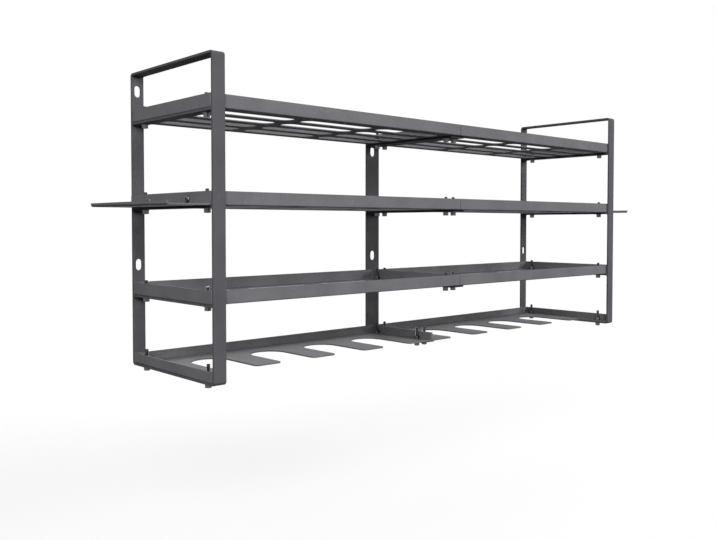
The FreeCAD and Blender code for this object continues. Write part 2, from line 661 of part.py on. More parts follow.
# Bearers of the three shelves, and of the drill rack at the seam
SHELVES = (("lower", "Sizes.lower_shelf_level"),
           ("middle", "Sizes.middle_shelf_level"),
           ("upper", "Sizes.upper_shelf_level"))
strap_side = "Sizes.strap_width / 2"
for name, level in SHELVES:
    for word, side in (("left", -1), ("right", 1)):
        ends = [mirrored(side, HALF), mirrored(side, "%s - Sizes.bar_width" % HALF)]
        left, right = ends if side < 0 else ends[::-1]
        middle = mirrored(side, BAR_MIDDLE)
        bearer("%s_%s_bearer" % (word, name), level, left, right,
               "-Sizes.overall_depth + Sizes.bar_thickness", "-Sizes.bar_thickness",
               [(middle, FRONT_BOLT), (middle, BACK_BOLT)])
    seam_holes = [(mirrored(side, "Sizes.bolt_seam"), place)
                  for side in (-1, 1) for place in (FRONT_BOLT, BACK_BOLT)]
    bearer("centre_%s_bearer" % name, level, "-" + strap_side, strap_side,
           FRONT_BOLT + " - Sizes.centre_bearer_end", "-Sizes.bar_thickness", seam_holes)
seam_holes = [(mirrored(side, "Sizes.bolt_seam"), place)
              for side in (-1, 1) for place in (FINGER_BOLT, BACK_BOLT)]
bearer("centre_bottom_bearer", "Sizes.bar_thickness", "-" + strap_side, strap_side,
       FINGER_BOLT + " - Sizes.centre_bearer_end", "-Sizes.bar_thickness", seam_holes)

# Panels
for name, level in SHELVES:
    for word, side in (("left", -1), ("right", 1)):
        shelf_panel("%s_shelf_%s" % (name, word), side, level, name == "middle")
for word, side in (("left", -1), ("right", 1)):
    drill_rack("drill_rack_" + word, side)

# Side racks
plier_rack("plier_rack")
hand_tool_rack("hand_tool_rack")

# Fasteners
forms = {
    "bolt": bolt_pattern_piece(),
    "screw": screw_pattern_piece(),
    "nut": nut_pattern_piece(),
    "washer": washer_pattern_piece(),
}
for name, level in SHELVES:
    tier_fasteners(name + "_shelf", level, "Sizes.shelf_thickness", FRONT_BOLT, forms)
tier_fasteners("drill_rack", "Sizes.bar_thickness", "Sizes.drill_rack_thickness", FINGER_BOLT, forms)
side_fasteners("plier_rack", -1, forms)
side_fasteners("hand_tool_rack", 1, forms)

doc.recompute()

# Every object has to be sound before anything is written
for item in doc.Objects:
    if "Invalid" in item.State or "Error" in item.State:
        raise RuntimeError("%s failed: %s" % (item.Label, item.State))
for item in sub_parts:
    shape = item.Shape
    if shape.isNull() or not shape.isValid() or not shape.Solids:
        raise RuntimeError("%s has no sound solid" % item.Label)

os.makedirs("parts", exist_ok=True)
for item in sub_parts:
    item.Shape.exportStep("parts/%s.step" % item.Label)
print("%d sub-parts, %d solids" % (len(sub_parts), sum(len(item.Shape.Solids) for item in sub_parts)))
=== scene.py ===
import math

import bpy
from bpy.props import FloatProperty, FloatVectorProperty, IntProperty, PointerProperty
from mathutils import Matrix, Vector


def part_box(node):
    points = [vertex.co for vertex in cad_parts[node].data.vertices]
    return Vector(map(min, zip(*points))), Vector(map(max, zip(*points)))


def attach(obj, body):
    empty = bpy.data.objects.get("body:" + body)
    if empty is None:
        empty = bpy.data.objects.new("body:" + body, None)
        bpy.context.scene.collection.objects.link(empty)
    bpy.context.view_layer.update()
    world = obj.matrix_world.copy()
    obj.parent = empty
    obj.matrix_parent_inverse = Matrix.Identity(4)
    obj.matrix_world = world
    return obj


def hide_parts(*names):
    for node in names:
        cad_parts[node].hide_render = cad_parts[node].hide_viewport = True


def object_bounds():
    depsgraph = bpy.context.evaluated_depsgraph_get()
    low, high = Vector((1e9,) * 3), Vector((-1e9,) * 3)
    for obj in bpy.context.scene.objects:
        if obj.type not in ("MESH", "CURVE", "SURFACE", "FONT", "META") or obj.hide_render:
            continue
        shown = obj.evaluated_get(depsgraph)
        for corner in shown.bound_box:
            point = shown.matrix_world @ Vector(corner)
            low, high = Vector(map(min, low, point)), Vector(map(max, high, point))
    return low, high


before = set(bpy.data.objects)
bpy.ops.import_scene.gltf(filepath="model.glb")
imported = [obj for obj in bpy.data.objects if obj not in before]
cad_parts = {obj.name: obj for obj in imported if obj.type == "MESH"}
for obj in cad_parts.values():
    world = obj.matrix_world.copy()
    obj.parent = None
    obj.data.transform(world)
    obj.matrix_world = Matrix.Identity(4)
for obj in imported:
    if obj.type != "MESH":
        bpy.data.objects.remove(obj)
CAD_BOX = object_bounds()

bl_info = {
    "name": "Power tool wall rack",
    "version": (1, 0, 0),
    "blender": (4, 5, 0),
    "location": "3D View > Sidebar > Rack",
    "description": "Finishes, fasteners, welds and studio of a wall rack of powder-coated steel",
    "category": "Object",
}

MM = 0.001
TINY = 0.01 * MM
FULL_TURN = 2 * math.pi
TIERS = ("upper_shelf", "middle_shelf", "lower_shelf", "drill_rack")
SHELVES = ("upper", "middle", "lower")
SIDES = ("left", "right")
SIDE_RACKS = ("plier_rack", "hand_tool_rack")
# Vertices of a frame node with a wider gap between them belong to different fasteners.
SEPARATE = 5 * MM

# Rounded edges of the frame's nodes
WELD_REACH = 0.002 * MM
FLAT_ANGLE = math.radians(0.5)
SHARP_ANGLE = math.radians(40)
EDGE_SEGMENTS = 2

# Powder coat: tones are shares of its colour
PIMPLE_SCALE = 0.7
PIMPLE_SHARE = 0.45
# Share of the peel in the coat's colour: painted shade that darkens the peel's hollows
PEEL_SHADE_SHARE = 0.4
CLOUD_RANGE = (0.36, 0.64)
COAT_TONES = (0.86, 1.14)
COAT_ROUGHNESS_SPREAD = 0.08
# Specks: paler dots that are painted glints
SPECK_EDGE = (0.03, 0.07)
SPECK_STRENGTH = 0.25
PAINTED_GLINT_TONE = 2.2

# Zinc plate: clouds and marks are counted to a metre, tones are shares of its colour
ZINC_CLOUDS = 420.0
ZINC_MARKS = 5200.0
ZINC_MARK_HEIGHT = 0.01 * MM
ZINC_TONES = (0.72, 1.18)
ZINC_ROUGHNESS_SPREAD = (-0.08, 0.10)

# Thread: a flank and a crest or root as shares of the pitch, and the size of the tapered tip
FLANK = 0.38
CREST = 0.12
TIP_TAPER = 0.86
# Turns that start below the shank's lower end, and turns beyond its length, all cut off level
LEAD_TURNS = 2
SPARE_TURNS = 3

# Heads: heights are shares of the head's height, measured from its bearing face
CAP_STRAIGHT = 0.88
CAP_SOCKET_END = 0.5
# Each step's share of the chamfer's height, and how much narrower it makes the end
CAP_CHAMFER = ((0.4, 0.975), (0.35, 0.955), (0.25, 0.94))
DOME_BAND = 0.2
DOME_ANGLE = math.radians(82)
DOME_STEPS = 6
DOME_SIDES = 36
DOME_SOCKET_END = 0.45
SHANK_SUNK = 0.3

# Nuts: shares of the corner radius, then of the height, and the flare of the countersink
NUT_FACE = 0.95
NUT_BLANK = 1.01
NUT_SINK = 0.1
NUT_SINK_FLARE = 1.36
NUT_SIDES = 48
BORE_SIDES = 24
WASHER_SIDES = 32
WASHER_SHARP_ANGLE = math.radians(50)

# Weld beads: the size of their ends, their sides and the slices to a ripple
BEAD_END = 0.45
BEAD_SIDES = 14
RIPPLE_SLICES = 4

# Stage: lengths in metres, apart from the camera's frame in mm
FRAME_WIDTH = 36
FLOOR_SIZE = 40
FLOOR_SHADE = 0.35
FLOOR_FADE = (0.5, 1.6)
SKY_HEIGHTS = (-0.2, 1.0)
SKY_STRENGTH = 0.45
LAMP_TARGET = (0, -0.1, 0)
# Name, place, width and height of each lamp
LAMPS = (
    ("key", (-2.0, -1.9, 1.1), 1.6, 1.2),
    ("front", (2.0, -2.3, 1.05), 1.6, 0.9),
    ("back", (0.9, 2.4, 0.9), 1.8, 1.4),
)


def linear(hex_color):
    """Turns an sRGB hex colour into the linear values that Blender's shaders use."""
    values = []
    for i in (1, 3, 5):
        c = int(hex_color[i:i + 2], 16) / 255
        values.append(c / 12.92 if c <= 0.04045 else ((c + 0.055) / 1.055) ** 2.4)
    return values


class RackFinish(bpy.types.PropertyGroup):
    """Colours and textures of the coated steel and of the fasteners."""
    bar_color: FloatVectorProperty(
        name="Bar coat", description="Colour of the powder coat on the flat bar", subtype="COLOR",
        size=3, min=0, max=1, default=linear("#515054"))
    sheet_color: FloatVectorProperty(
        name="Sheet coat", description="Colour of the powder coat on the folded sheet", subtype="COLOR",
        size=3, min=0, max=1, default=linear("#666569"))
    coat_roughness: FloatProperty(
        name="Coat roughness", description="How matt the powder coat is", subtype="FACTOR",
        min=0, max=1, default=0.82)
    coat_ior: FloatProperty(
        name="Coat IOR", description="Refractive index of the matt powder coat",
        min=1, max=2, default=1.18)
    grain: FloatProperty(
        name="Coat grain", description="Width of one pimple of the coat's orange peel",
        unit="LENGTH", min=0.0001, max=0.01, default=1.4 * MM)
    grain_height: FloatProperty(
        name="Grain height", description="How high the pimples stand", unit="LENGTH",
        min=0, max=0.001, default=0.2 * MM)
    cloud: FloatProperty(
        name="Coat clouds", description="Width of the coat's darker and paler areas",
        unit="LENGTH", min=0.002, max=0.5, default=45 * MM)
    # The specks are painted glints
    speck_spacing: FloatProperty(
        name="Speck spacing", description="Distance from one paler speck to the next",
        unit="LENGTH", min=0.002, max=0.5, default=22 * MM)
    bar_edge: FloatProperty(
        name="Bar edge", description="Rounding of the flat bar's long edges under the coat",
        unit="LENGTH", min=0, max=0.002, default=0.45 * MM)
    sheet_edge: FloatProperty(
        name="Sheet edge", description="Rounding of the cut edges of the sheet under the coat",
        unit="LENGTH", min=0, max=0.001, default=0.3 * MM)
    zinc_color: FloatVectorProperty(
        name="Zinc", description="Colour of the zinc-plated fasteners", subtype="COLOR",
        size=3, min=0, max=1, default=linear("#5e5f62"))
    zinc_roughness: FloatProperty(
        name="Zinc roughness", description="How dull the zinc plating is", subtype="FACTOR",
        min=0, max=1, default=0.38)


class RackFasteners(bpy.types.PropertyGroup):
    """Details of the screws, nuts and washers that the frame doesn't hold."""
    thread_pitch: FloatProperty(
        name="Thread pitch", description="Rise of the thread in one turn", unit="LENGTH",
        min=0.0002, max=0.003, default=0.8 * MM)
    thread_depth: FloatProperty(
        name="Thread depth", description="Crest to root of the thread", unit="LENGTH",
        min=0.0001, max=0.001, default=0.42 * MM)
    thread_steps: IntProperty(
        name="Thread steps", description="Flats round one turn of the thread", min=8, max=48, default=16)
    shank: FloatProperty(
        name="Shank", description="Diameter over the thread", unit="LENGTH",
        min=0.002, max=0.02, default=5 * MM)
    bore: FloatProperty(
        name="Bore", description="Hole of a nut or washer", unit="LENGTH",
        min=0.002, max=0.02, default=5.1 * MM)
    knurls: IntProperty(
        name="Knurls", description="Ridges round a cap screw's head", min=12, max=60, default=30)
    knurl_depth: FloatProperty(
        name="Knurl depth", description="How deep the grooves between the ridges are", unit="LENGTH",
        min=0, max=0.0005, default=0.12 * MM)
    cap_height: FloatProperty(
        name="Cap head", description="Height of a cap screw's head", unit="LENGTH",
        min=0.001, max=0.01, default=5 * MM)
    cap_socket: FloatProperty(
        name="Cap socket", description="Key size of the cap screws", unit="LENGTH",
        min=0.001, max=0.01, default=4 * MM)
    dome_height: FloatProperty(
        name="Domed head", description="Height of a domed screw's head", unit="LENGTH",
        min=0.001, max=0.01, default=2.8 * MM)
    dome_socket: FloatProperty(
        name="Dome socket", description="Key size of the domed screws", unit="LENGTH",
        min=0.001, max=0.01, default=3 * MM)
    chamfer_angle: FloatProperty(
        name="Chamfer angle", description="Slope of the chamfer on the corners of a nut",
        subtype="ANGLE", min=0.1, max=1.2, default=math.radians(30))
    washer_height: FloatProperty(
        name="Washer height", description="Thickness of a washer", unit="LENGTH",
        min=0.0003, max=0.003, default=1 * MM)
    washer_edge: FloatProperty(
        name="Washer edge", description="Rounding of a washer's stamped edges", unit="LENGTH",
        min=0, max=0.0005, default=0.18 * MM)


class RackWelds(bpy.types.PropertyGroup):
    """The fillet welds under the bearers."""
    leg: FloatProperty(
        name="Leg", description="Reach of a weld up each of the two faces", unit="LENGTH",
        min=0.0005, max=0.006, default=2.2 * MM)
    ripple: FloatProperty(
        name="Ripple", description="Distance from one ripple of the weld to the next",
        unit="LENGTH", min=0.0005, max=0.005, default=1.6 * MM)
    ripple_depth: FloatProperty(
        name="Ripple depth", description="Part of the leg that a ripple rises by", subtype="FACTOR",
        min=0, max=0.5, default=0.09)


class RackStudio(bpy.types.PropertyGroup):
    """Camera, floor and lamps."""
    camera_place: FloatVectorProperty(
        name="Camera place", description="Where the camera stands", subtype="TRANSLATION",
        unit="LENGTH", size=3, default=(-0.9729, -1.0295, -0.0364))
    camera_turn: FloatProperty(
        name="Camera turn", description="Turn of the view to the right of straight at the wall",
        subtype="ANGLE", default=math.radians(42.4))
    camera_tilt: FloatProperty(
        name="Camera tilt", description="Tilt of the view below level", subtype="ANGLE",
        default=math.radians(1.8))
    lens: FloatProperty(name="Lens", description="Focal length in mm on a 36 mm frame", default=39.87)
    shift: FloatProperty(
        name="Lens shift", description="Upward shift of the view in frame widths", default=-0.0292)
    floor_drop: FloatProperty(
        name="Floor drop", description="Height of the rack over the floor", unit="LENGTH", default=0.30)
    floor_color: FloatVectorProperty(
        name="Floor", description="Colour of the floor that lights the rack from below", subtype="COLOR",
        size=3, min=0, max=1, default=(0.04, 0.04, 0.04))
    floor_white: FloatProperty(
        name="Floor white", description="Share of the seen floor that is plain white", subtype="FACTOR",
        min=0, max=1, default=0.55)
    key_power: FloatProperty(
        name="Key lamp", description="Power of the large lamp at the left in watts", default=76)
    front_power: FloatProperty(
        name="Front lamp", description="Power of the large lamp at the right in watts", default=85)
    back_power: FloatProperty(
        name="Back lamp", description="Power of the large lamp behind in watts", default=70)


def finish():
    """The colours and textures that are set for the rack."""
    return bpy.context.scene.rack_finish


def add_node(tree, kind, inputs=None, **settings):
    """Adds a node, sets its options, and sets or links its inputs."""
    node = tree.nodes.new(kind)
    for name, value in settings.items():
        setattr(node, name, value)
    for name, value in (inputs or {}).items():
        if isinstance(value, bpy.types.NodeSocket):
            tree.links.new(value, node.inputs[name])
        else:
            node.inputs[name].default_value = value
    return node


def new_material(name):
    """An empty node material."""
    material = bpy.data.materials.new(name)
    material.use_nodes = True
    material.node_tree.nodes.clear()
    return material


def spread(tree, value, low, high):
    """Turns a pattern's 0 to 1 into a range."""
    node = add_node(tree, "ShaderNodeMapRange", {"Value": value, "To Min": low, "To Max": high})
    return node.outputs["Result"]


def powder_coat(name, color, look):
    """Polyester powder baked on steel: matt, near black, a soft orange peel, clouds, painted shade in
    the peel's hollows and paler specks of painted glint.
    """
    material = new_material(name)
    tree = material.node_tree
    place = add_node(tree, "ShaderNodeTexCoord").outputs["Object"]
    # The real peel has pimples under a millimetre wide; they are drawn coarser, to show in a render.
    peel = add_node(tree, "ShaderNodeTexNoise", {
        "Vector": place, "Scale": 1 / look.grain, "Detail": 2.0, "Roughness": 0.45})
    pimples = add_node(tree, "ShaderNodeTexVoronoi", {
        "Vector": place, "Scale": PIMPLE_SCALE / look.grain, "Smoothness": 1.0}, feature="SMOOTH_F1")
    relief = add_node(tree, "ShaderNodeMix", {
        "Factor": PIMPLE_SHARE, "A": peel.outputs["Fac"], "B": pimples.outputs["Distance"]})
    bump = add_node(tree, "ShaderNodeBump", {
        "Height": relief.outputs["Result"], "Distance": look.grain_height, "Strength": 1.0})
    cloud = add_node(tree, "ShaderNodeTexNoise", {
        "Vector": place, "Scale": 1 / look.cloud, "Detail": 3.0, "Roughness": 0.55})
    # The colour mixes the random clouds with the peel, so the peel's hollows get painted shade.
    clouds_and_hollow_shade = add_node(tree, "ShaderNodeMix", {
        "Factor": PEEL_SHADE_SHARE, "A": cloud.outputs["Fac"], "B": peel.outputs["Fac"]})
    uneven = add_node(tree, "ShaderNodeMapRange", {
        "Value": clouds_and_hollow_shade.outputs["Result"], "From Min": CLOUD_RANGE[0], "From Max": CLOUD_RANGE[1]})
    dark, light = [(*[c * tone for c in color], 1) for tone in COAT_TONES]
    shade = add_node(tree, "ShaderNodeMix", {
        "Factor": uneven.outputs["Result"], "A": dark, "B": light}, data_type="RGBA")
    # Specks are the few coarse grains of powder that melt flat; the light they catch is painted into the
    # colour as paler dots.
    dots = add_node(tree, "ShaderNodeTexVoronoi", {"Vector": place, "Scale": 1 / look.speck_spacing})
    pale = add_node(tree, "ShaderNodeMapRange", {
        "Value": dots.outputs["Distance"], "From Min": SPECK_EDGE[0], "From Max": SPECK_EDGE[1],
        "To Min": SPECK_STRENGTH, "To Max": 0.0})
    with_painted_glints = add_node(tree, "ShaderNodeMix", {
        "Factor": pale.outputs["Result"], "A": shade.outputs["Result"],
        "B": (*[min(1.0, c * PAINTED_GLINT_TONE) for c in color], 1)}, data_type="RGBA")
    shader = add_node(tree, "ShaderNodeBsdfPrincipled", {
        "Base Color": with_painted_glints.outputs["Result"],
        "Roughness": spread(tree, uneven.outputs["Result"],
                            look.coat_roughness - COAT_ROUGHNESS_SPREAD,
                            look.coat_roughness + COAT_ROUGHNESS_SPREAD),
        "IOR": look.coat_ior, "Normal": bump.outputs["Normal"]})
    add_node(tree, "ShaderNodeOutputMaterial", {"Surface": shader.outputs["BSDF"]})
    return material


def zinc_plate(name, color, roughness):
    """Zinc plated on steel: a dull dark grey metal, cloudy, with fine marks from the rolling."""
    material = new_material(name)
    tree = material.node_tree
    place = add_node(tree, "ShaderNodeTexCoord").outputs["Object"]
    cloud = add_node(tree, "ShaderNodeTexNoise", {
        "Vector": place, "Scale": ZINC_CLOUDS, "Detail": 4.0})
    marks = add_node(tree, "ShaderNodeTexNoise", {
        "Vector": place, "Scale": ZINC_MARKS, "Detail": 1.0})
    dark, light = [(*[min(1.0, c * tone) for c in color], 1) for tone in ZINC_TONES]
    tint = add_node(tree, "ShaderNodeMix", {
        "Factor": cloud.outputs["Fac"], "A": dark, "B": light}, data_type="RGBA")
    bump = add_node(tree, "ShaderNodeBump", {
        "Height": marks.outputs["Fac"], "Distance": ZINC_MARK_HEIGHT, "Strength": 0.6})
    low, high = [roughness + change for change in ZINC_ROUGHNESS_SPREAD]
    shader = add_node(tree, "ShaderNodeBsdfPrincipled", {
        "Base Color": tint.outputs["Result"], "Metallic": 1.0,
        "Roughness": spread(tree, cloud.outputs["Fac"], low, high),
        "Normal": bump.outputs["Normal"]})
    add_node(tree, "ShaderNodeOutputMaterial", {"Surface": shader.outputs["BSDF"]})
    return material


def material_named(name):
    """A finish, made the first time that a piece asks for it."""
    if name in bpy.data.materials:
        return bpy.data.materials[name]
    look = finish()
    if name == "zinc_plated_steel":
        return zinc_plate(name, look.zinc_color, look.zinc_roughness)
    color = look.bar_color if name == "powder_coated_bar" else look.sheet_color
    return powder_coat(name, color, look)


def coat_node(node, name):
    """Gives a frame node a finish."""
    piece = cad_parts[node]
    piece.data.materials.clear()
    piece.data.materials.append(material_named(name))
    return piece


def soften(piece, width):
    """Rounds a node's sharp edges as the coat does, with live modifiers over the untouched mesh."""
    weld = piece.modifiers.new("Weld", "WELD")
    weld.merge_threshold = WELD_REACH
    flat = piece.modifiers.new("Flat faces", "DECIMATE")
    flat.decimate_type = "DISSOLVE"
    flat.angle_limit = FLAT_ANGLE
    bevel = piece.modifiers.new("Rounded edges", "BEVEL")
    bevel.width = width
    bevel.segments = EDGE_SEGMENTS
    bevel.limit_method = "ANGLE"
    bevel.angle_limit = SHARP_ANGLE
    bevel.harden_normals = True
    bevel.use_clamp_overlap = True


def put_down():
    """Leaves edit mode with nothing selected and vertices to be selected next."""
    bpy.context.tool_settings.mesh_select_mode = (True, False, False)
    active = bpy.context.view_layer.objects.active
    if active and active.mode == "EDIT":
        bpy.ops.object.mode_set(mode="OBJECT")
    bpy.ops.object.select_all(action="DESELECT")


def only(piece):
    """Makes a piece the only selected one, in object mode."""
    put_down()
    piece.select_set(True)
    bpy.context.view_layer.objects.active = piece


def pick(piece, faces=None, vertices=None):
    """Enters edit mode with the faces or vertices selected that a test picks by their place."""
    only(piece)
    mesh = piece.data
    if faces:
        bpy.context.tool_settings.mesh_select_mode = (False, False, True)
    for item in (*mesh.vertices, *mesh.edges, *mesh.polygons):
        item.select = False
    if faces:
        for face in mesh.polygons:
            face.select = faces(face.center)
    if vertices:
        for vertex in mesh.vertices:
            vertex.select = vertices(vertex.co)
    bpy.ops.object.mode_set(mode="EDIT")


def extrude_end(axis, step, size, end):
    """Extrudes the selected end face along an axis to a place and resizes it about the axis."""
    bpy.ops.mesh.extrude_region_move(TRANSFORM_OT_translate={"value": axis * step})
    scale = [1 if part else size for part in axis]
    bpy.ops.transform.resize(value=scale, center_override=axis * end)


def round_bar(name, vertices, radius, low, high):
    """A plain turned blank along Z, from which a piece is shaped."""
    put_down()
    bpy.ops.mesh.primitive_cylinder_add(vertices=vertices, radius=radius, depth=high - low,
                                        location=(0, 0, (low + high) / 2))
    piece = bpy.context.object
    piece.name = name
    only(piece)
    bpy.ops.object.transform_apply(location=True, rotation=True, scale=True)
    return piece


def combine(piece, tool, operation):
    """Cuts, crops or fuses a piece with a tool, which is used up."""
    modifier = piece.modifiers.new("Combine", "BOOLEAN")
    modifier.object = tool
    modifier.operation = operation
    modifier.solver = "EXACT"
    only(piece)
    bpy.ops.object.modifier_apply(modifier=modifier.name)
    bpy.data.objects.remove(tool)


def join(pieces, name):
    """Makes several pieces one."""
    only(pieces[0])
    for piece in pieces[1:]:
        piece.select_set(True)
    bpy.ops.object.join()
    pieces[0].name = name
    return pieces[0]


def smooth(piece, degrees):
    """Smooth shading up to an angle, after the normals are turned outwards."""
    only(piece)
    bpy.ops.object.mode_set(mode="EDIT")
    bpy.ops.mesh.select_all(action="SELECT")
    bpy.ops.mesh.normals_make_consistent(inside=False)
    bpy.ops.object.mode_set(mode="OBJECT")
    bpy.ops.object.shade_smooth_by_angle(angle=math.radians(degrees))


def socket_tool(key, low, high):
    """A hexagon key's shape, to cut a socket with."""
    return round_bar("socket_tool", 6, key / math.sqrt(3), low, high)


def threaded_shank(look, low, high):
    """A thread turned from one tooth's outline, cut level at both ends, with its tip tapered."""
    pitch = look.thread_pitch
    depth = look.thread_depth
    put_down()
    bpy.ops.mesh.primitive_plane_add(
        size=pitch, location=(look.shank / 2 - depth, 0, low - LEAD_TURNS * pitch))
    shank = bpy.context.object
    only(shank)
    bpy.ops.object.transform_apply(location=True, rotation=True, scale=True)
    bpy.ops.object.mode_set(mode="EDIT")
    bpy.ops.mesh.select_all(action="SELECT")
    bpy.ops.mesh.merge(type="CENTER")
    for out, up in ((depth, FLANK), (0, CREST), (-depth, FLANK), (0, CREST)):
        bpy.ops.mesh.extrude_vertices_move(TRANSFORM_OT_translate={"value": (out, 0, up * pitch)})
    bpy.ops.object.mode_set(mode="OBJECT")
    turns = shank.modifiers.new("Thread", "SCREW")
    turns.axis = "Z"
    turns.screw_offset = pitch
    turns.iterations = math.ceil((high - low) / pitch) + SPARE_TURNS
    turns.steps = look.thread_steps
    turns.render_steps = look.thread_steps
    bpy.ops.object.modifier_apply(modifier=turns.name)
    bpy.ops.object.mode_set(mode="EDIT")
    bpy.ops.mesh.select_all(action="SELECT")
    bpy.ops.mesh.remove_doubles(threshold=0.1 * TINY)
    for end, part in ((low, "clear_inner"), (high, "clear_outer")):
        bpy.ops.mesh.select_all(action="SELECT")
        bpy.ops.mesh.bisect(plane_co=(0, 0, end), plane_no=(0, 0, 1), use_fill=True,
                            threshold=0.1 * TINY, **{part: True})
    pick(shank, vertices=lambda place: place.z > high - TINY)
    bpy.ops.transform.resize(value=(TIP_TAPER, TIP_TAPER, 1), center_override=(0, 0, high))
    smooth(shank, 30)
    return shank


def cap_head(look, radius):
    """A knurled round head with a hexagon socket, hanging from its bearing face at zero height."""
    height = look.cap_height
    straight = CAP_STRAIGHT * height
    sides = 2 * look.knurls
    head = round_bar("cap_head", sides, radius, -straight, 0)

    def in_groove(place):
        return round(math.atan2(place.y, place.x) / FULL_TURN * sides) % 2 == 1

    pick(head, vertices=in_groove)
    groove = 1 - look.knurl_depth / radius
    bpy.ops.transform.resize(value=(groove, groove, 1), center_override=(0, 0, 0))
    pick(head, faces=lambda place: place.z < -straight + TINY)
    down = Vector((0, 0, -1))
    depth = straight
    for share, size in CAP_CHAMFER:
        step = share * (height - straight)
        depth += step
        extrude_end(down, step, size, depth)
    socket = socket_tool(look.cap_socket, -height - MM, -CAP_SOCKET_END * height)
    combine(head, socket, "DIFFERENCE")
    smooth(head, 35)
    return head


def domed_head(look, radius):
    """A low domed head with a hexagon socket, hanging from its bearing face at zero height."""
    height = look.dome_height
    band = DOME_BAND * height
    head = round_bar("domed_head", DOME_SIDES, radius, -band, 0)
    pick(head, faces=lambda place: place.z < -band + TINY)
    down = Vector((0, 0, -1))
    size, depth = 1.0, band
    for i in range(1, DOME_STEPS + 1):
        angle = DOME_ANGLE * i / DOME_STEPS
        size_before, depth_before = size, depth
        size = math.cos(angle)
        depth = band + (height - band) * math.sin(angle) / math.sin(DOME_ANGLE)
        extrude_end(down, depth - depth_before, size / size_before, depth)
    socket = socket_tool(look.dome_socket, -height - MM, -DOME_SOCKET_END * height)
    combine(head, socket, "DIFFERENCE")
    smooth(head, 35)
    return head


def draw_out_ends(piece, low, high, step, size):
    """Draws both end faces of an upright blank out and resizes them about its axis."""
    for way, end in ((1, high), (-1, low)):
        pick(piece, faces=lambda place: abs(place.z - end) < TINY)
        extrude_end(Vector((0, 0, way)), step, size, 0)


def hexagon_nut(look, corner, height):
    """A nut standing on its bearing face: a hexagon, its corners chamfered and its bore countersunk."""
    face = NUT_FACE * corner * math.cos(FULL_TURN / 12)
    chamfer = (corner - face) * math.tan(look.chamfer_angle)
    nut = round_bar("nut", NUT_SIDES, NUT_BLANK * corner, chamfer, height - chamfer)
    draw_out_ends(nut, chamfer, height - chamfer, chamfer, face / corner)
    hexagon = round_bar("nut_flats", 6, corner, -MM, height + MM)
    hexagon.data.transform(Matrix.Rotation(FULL_TURN / 12, 4, "Z"))
    combine(nut, hexagon, "INTERSECT")
    sink = NUT_SINK * height
    bore = round_bar("nut_bore", BORE_SIDES, look.bore / 2, sink, height - sink)
    draw_out_ends(bore, sink, height - sink, 2 * sink, NUT_SINK_FLARE)
    combine(nut, bore, "DIFFERENCE")
    smooth(nut, 25)
    return nut


def flat_washer(look, radius):
    """A stamped washer lying at zero height, its edges rounded."""
    washer = round_bar("washer", WASHER_SIDES, radius, 0, look.washer_height)
    middle = look.washer_height / 2
    pick(washer, faces=lambda place: abs(place.z - middle) > middle - TINY)
    bpy.ops.mesh.inset(thickness=radius - look.bore / 2, use_individual=True)
    bpy.ops.mesh.bridge_edge_loops()
    only(washer)
    bevel = washer.modifiers.new("Edges", "BEVEL")
    bevel.width = look.washer_edge
    bevel.segments = EDGE_SEGMENTS
    bevel.limit_method = "ANGLE"
    bevel.angle_limit = WASHER_SHARP_ANGLE
    bpy.ops.object.modifier_apply(modifier=bevel.name)
    smooth(washer, 40)
    return washer


def weld_bead(look, length):
    """A rippled bead along X about the origin, its ends run out round."""
    put_down()
    bpy.ops.mesh.primitive_cylinder_add(
        vertices=BEAD_SIDES, radius=look.leg * BEAD_END, depth=TINY,
        rotation=(0, math.radians(90), 0), location=(-length / 2, 0, 0))
    bead = bpy.context.object
    bead.name = "bead"
    only(bead)
    bpy.ops.object.transform_apply(location=True, rotation=True, scale=True)
    pick(bead, faces=lambda place: place.x > -length / 2 + TINY / 4)
    along = Vector((1, 0, 0))
    slices = RIPPLE_SLICES * round(length / look.ripple)
    step = length / slices
    before = BEAD_END
    for i in range(1, slices + 1):
        x = step * i
        run_out = min(1.0, math.sqrt(min(x, length - x) / look.leg) + BEAD_END)
        swell = 1 - look.ripple_depth * (x / look.ripple % 1)
        size = run_out * swell
        extrude_end(along, step, size / before, x - length / 2)
        before = size
    smooth(bead, 60)
    return bead


def split(points, axis):
    """Parts points where they leave a gap along an axis."""
    groups = []
    last = None
    for point in sorted(points, key=lambda point: point[axis]):
        if last is None or point[axis] - last > SEPARATE:
            groups.append([])
        groups[-1].append(point)
        last = point[axis]
    return groups


def spots(node, axes=(0, 1)):
    """The middle of each fastener of a frame node, told apart along the axes by its vertices."""
    groups = [[vertex.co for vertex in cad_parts[node].data.vertices]]
    for axis in axes:
        groups = [part for group in groups for part in split(group, axis)]
    middles = []
    for group in groups:
        low = Vector([min(point[axis] for point in group) for axis in range(3)])
        high = Vector([max(point[axis] for point in group) for axis in range(3)])
        middles.append((low + high) / 2)
    return middles


def set_out(template, name, places, turn=None):
    """Copies a template to each place, each copy with its own mesh, and joins the copies."""
    copies = []
    for place in places:
        copy = template.copy()
        copy.data = template.data.copy()
        bpy.context.collection.objects.link(copy)
        copy.data.transform(Matrix.Translation(place) @ (turn or Matrix.Identity(4)))
        copies.append(copy)
    bpy.data.objects.remove(template)
    return join(copies, name)


def dress(piece, finish_name, slot, *nodes):
    """Finishes a piece of the rack's one rigid body, in place of the frame nodes named."""
    piece.data.materials.clear()
    piece.data.materials.append(material_named(finish_name))
    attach(piece, "root")
    if nodes:
        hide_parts(*nodes)


class RACK_OT_bars(bpy.types.Operator):
    """Coat the side loops, the centre strap and the bearers"""
    bl_idname = "rack.bars"
    bl_label = "Bars"

    def execute(self, context):
        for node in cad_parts:
            if node.endswith(("_loop", "_strap", "_bearer")):
                soften(coat_node(node, "powder_coated_bar"), finish().bar_edge)
        return {"FINISHED"}


